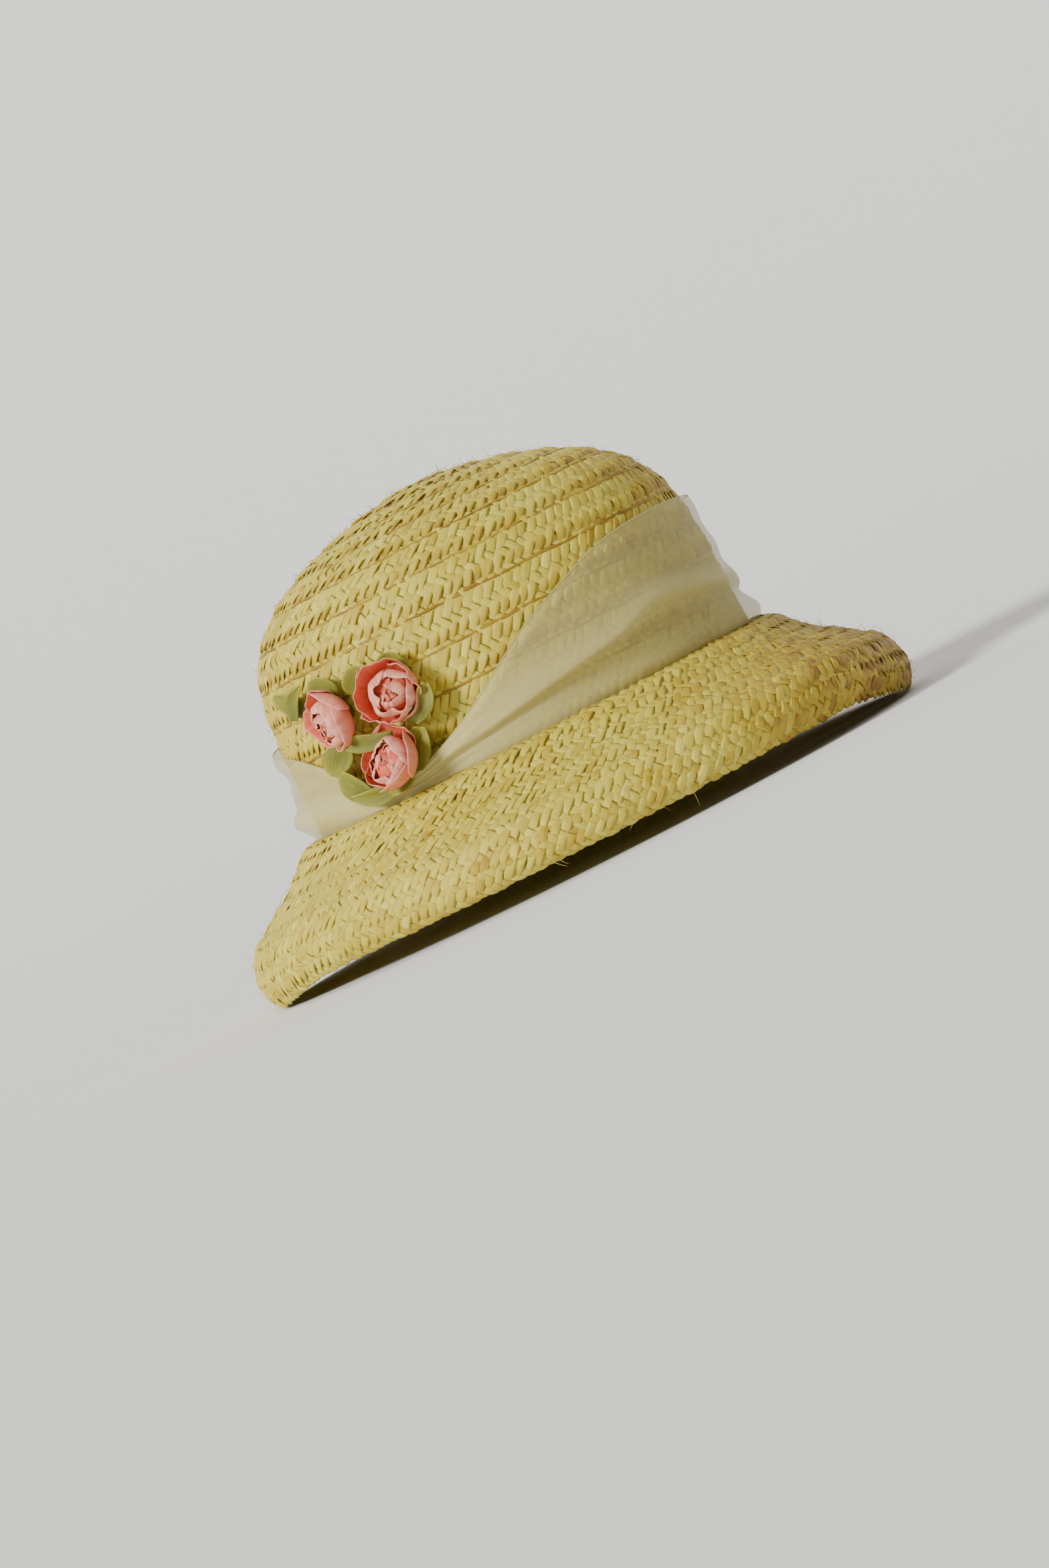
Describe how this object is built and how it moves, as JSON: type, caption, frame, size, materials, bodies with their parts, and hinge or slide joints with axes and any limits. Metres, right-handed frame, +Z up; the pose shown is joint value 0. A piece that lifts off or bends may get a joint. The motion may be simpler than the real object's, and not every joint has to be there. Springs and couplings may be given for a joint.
{
  "type": "straw garden hat",
  "caption": "Women's straw sun hat with a domed crown, a drooping mushroom brim, a sheer gathered scarf band and small cloth roses at one side.",
  "frame": {"origin": "centre of the hat's outline on the surface that its brim rests on", "axes": "+X to the wearer's front, +Y to the wearer's left, +Z up through the top of the crown"},
  "size_m": [0.3116, 0.283, 0.1747],
  "materials": {
    "straw": "matt plaited raffia straw",
    "chiffon": "sheer cream chiffon",
    "petal_cloth": "matt dyed cloth, pink",
    "leaf_cloth": "matt dyed cloth, olive green"
  },
  "bodies": {
    "root": {"crown": "straw", "brim": "straw", "band": "chiffon", "rose_front": "petal_cloth", "rose_back": "petal_cloth", "rose_low": "petal_cloth", "calyx_front": "leaf_cloth", "calyx_back": "leaf_cloth", "calyx_low": "leaf_cloth", "leaf_back": "leaf_cloth"}
  },
  "joints": []
}
